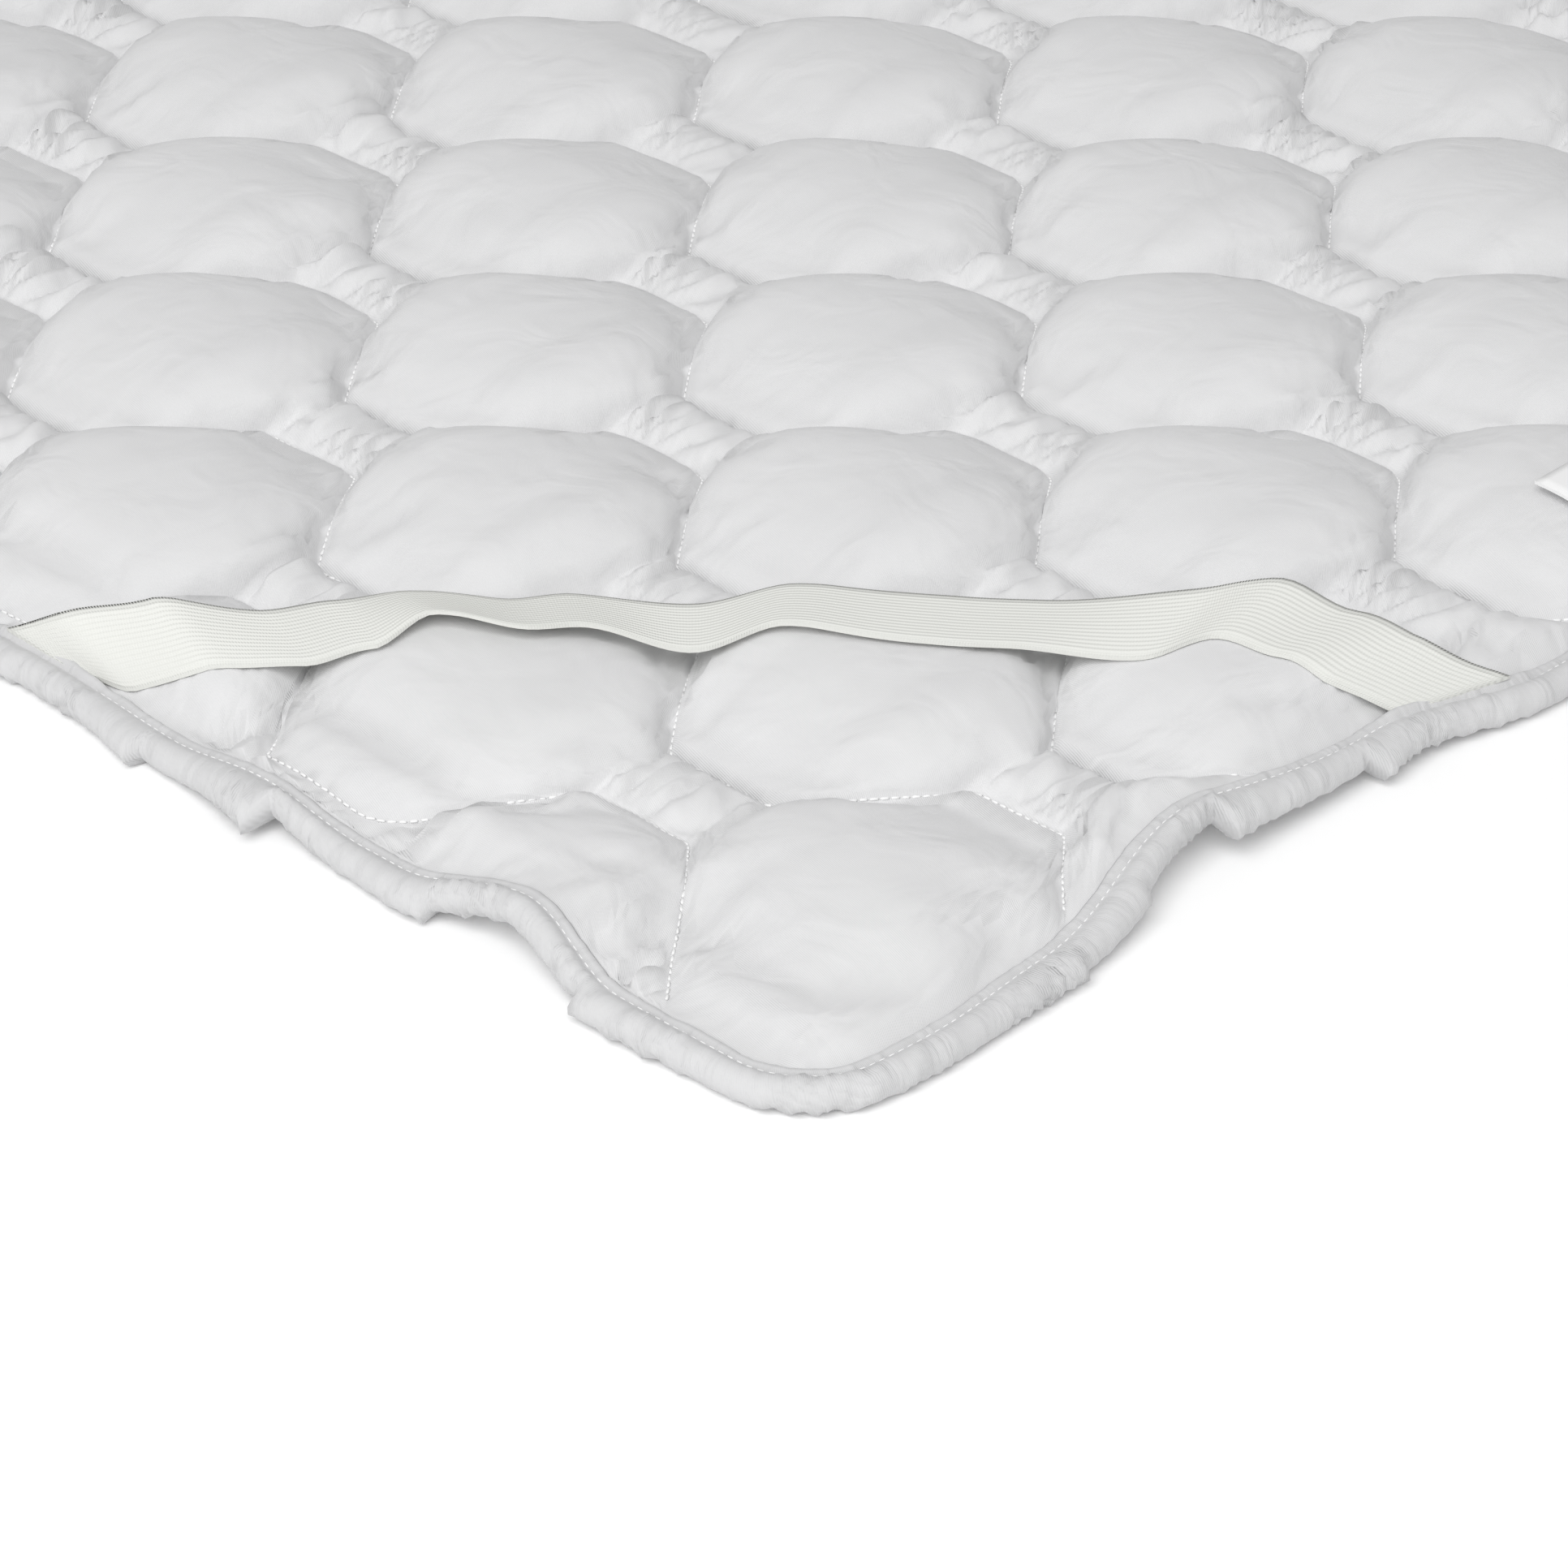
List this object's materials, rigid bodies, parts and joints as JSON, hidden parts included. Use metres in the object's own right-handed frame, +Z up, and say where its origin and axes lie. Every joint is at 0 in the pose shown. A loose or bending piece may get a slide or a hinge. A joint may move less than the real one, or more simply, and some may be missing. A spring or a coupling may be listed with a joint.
{
  "type": "quilted mattress topper",
  "caption": "Padded single mattress topper with wavy quilting, a rolled bound edge, an elastic band across each corner and a plain care label.",
  "frame": {"origin": "on the surface the topper lies on, under the middle of its outline", "axes": "+X along the short sides, +Y along the long sides and the quilting lines, +Z up through the thickness"},
  "size_m": [0.9, 1.9998, 0.036],
  "materials": {
    "cover_cloth": "fine white twill with a faint sheen",
    "binding_cloth": "fine white twill, folded and stitched",
    "elastic": "ivory ribbed knitted elastic",
    "label_tape": "smooth white woven tape, unprinted",
    "sewing_thread": "white twisted polyester thread"
  },
  "bodies": {
    "root": {"quilted_pad": "cover_cloth", "edge_binding": "binding_cloth", "corner_band_1": "elastic", "corner_band_2": "elastic", "corner_band_3": "elastic", "corner_band_4": "elastic", "care_label": "label_tape"}
  },
  "joints": []
}
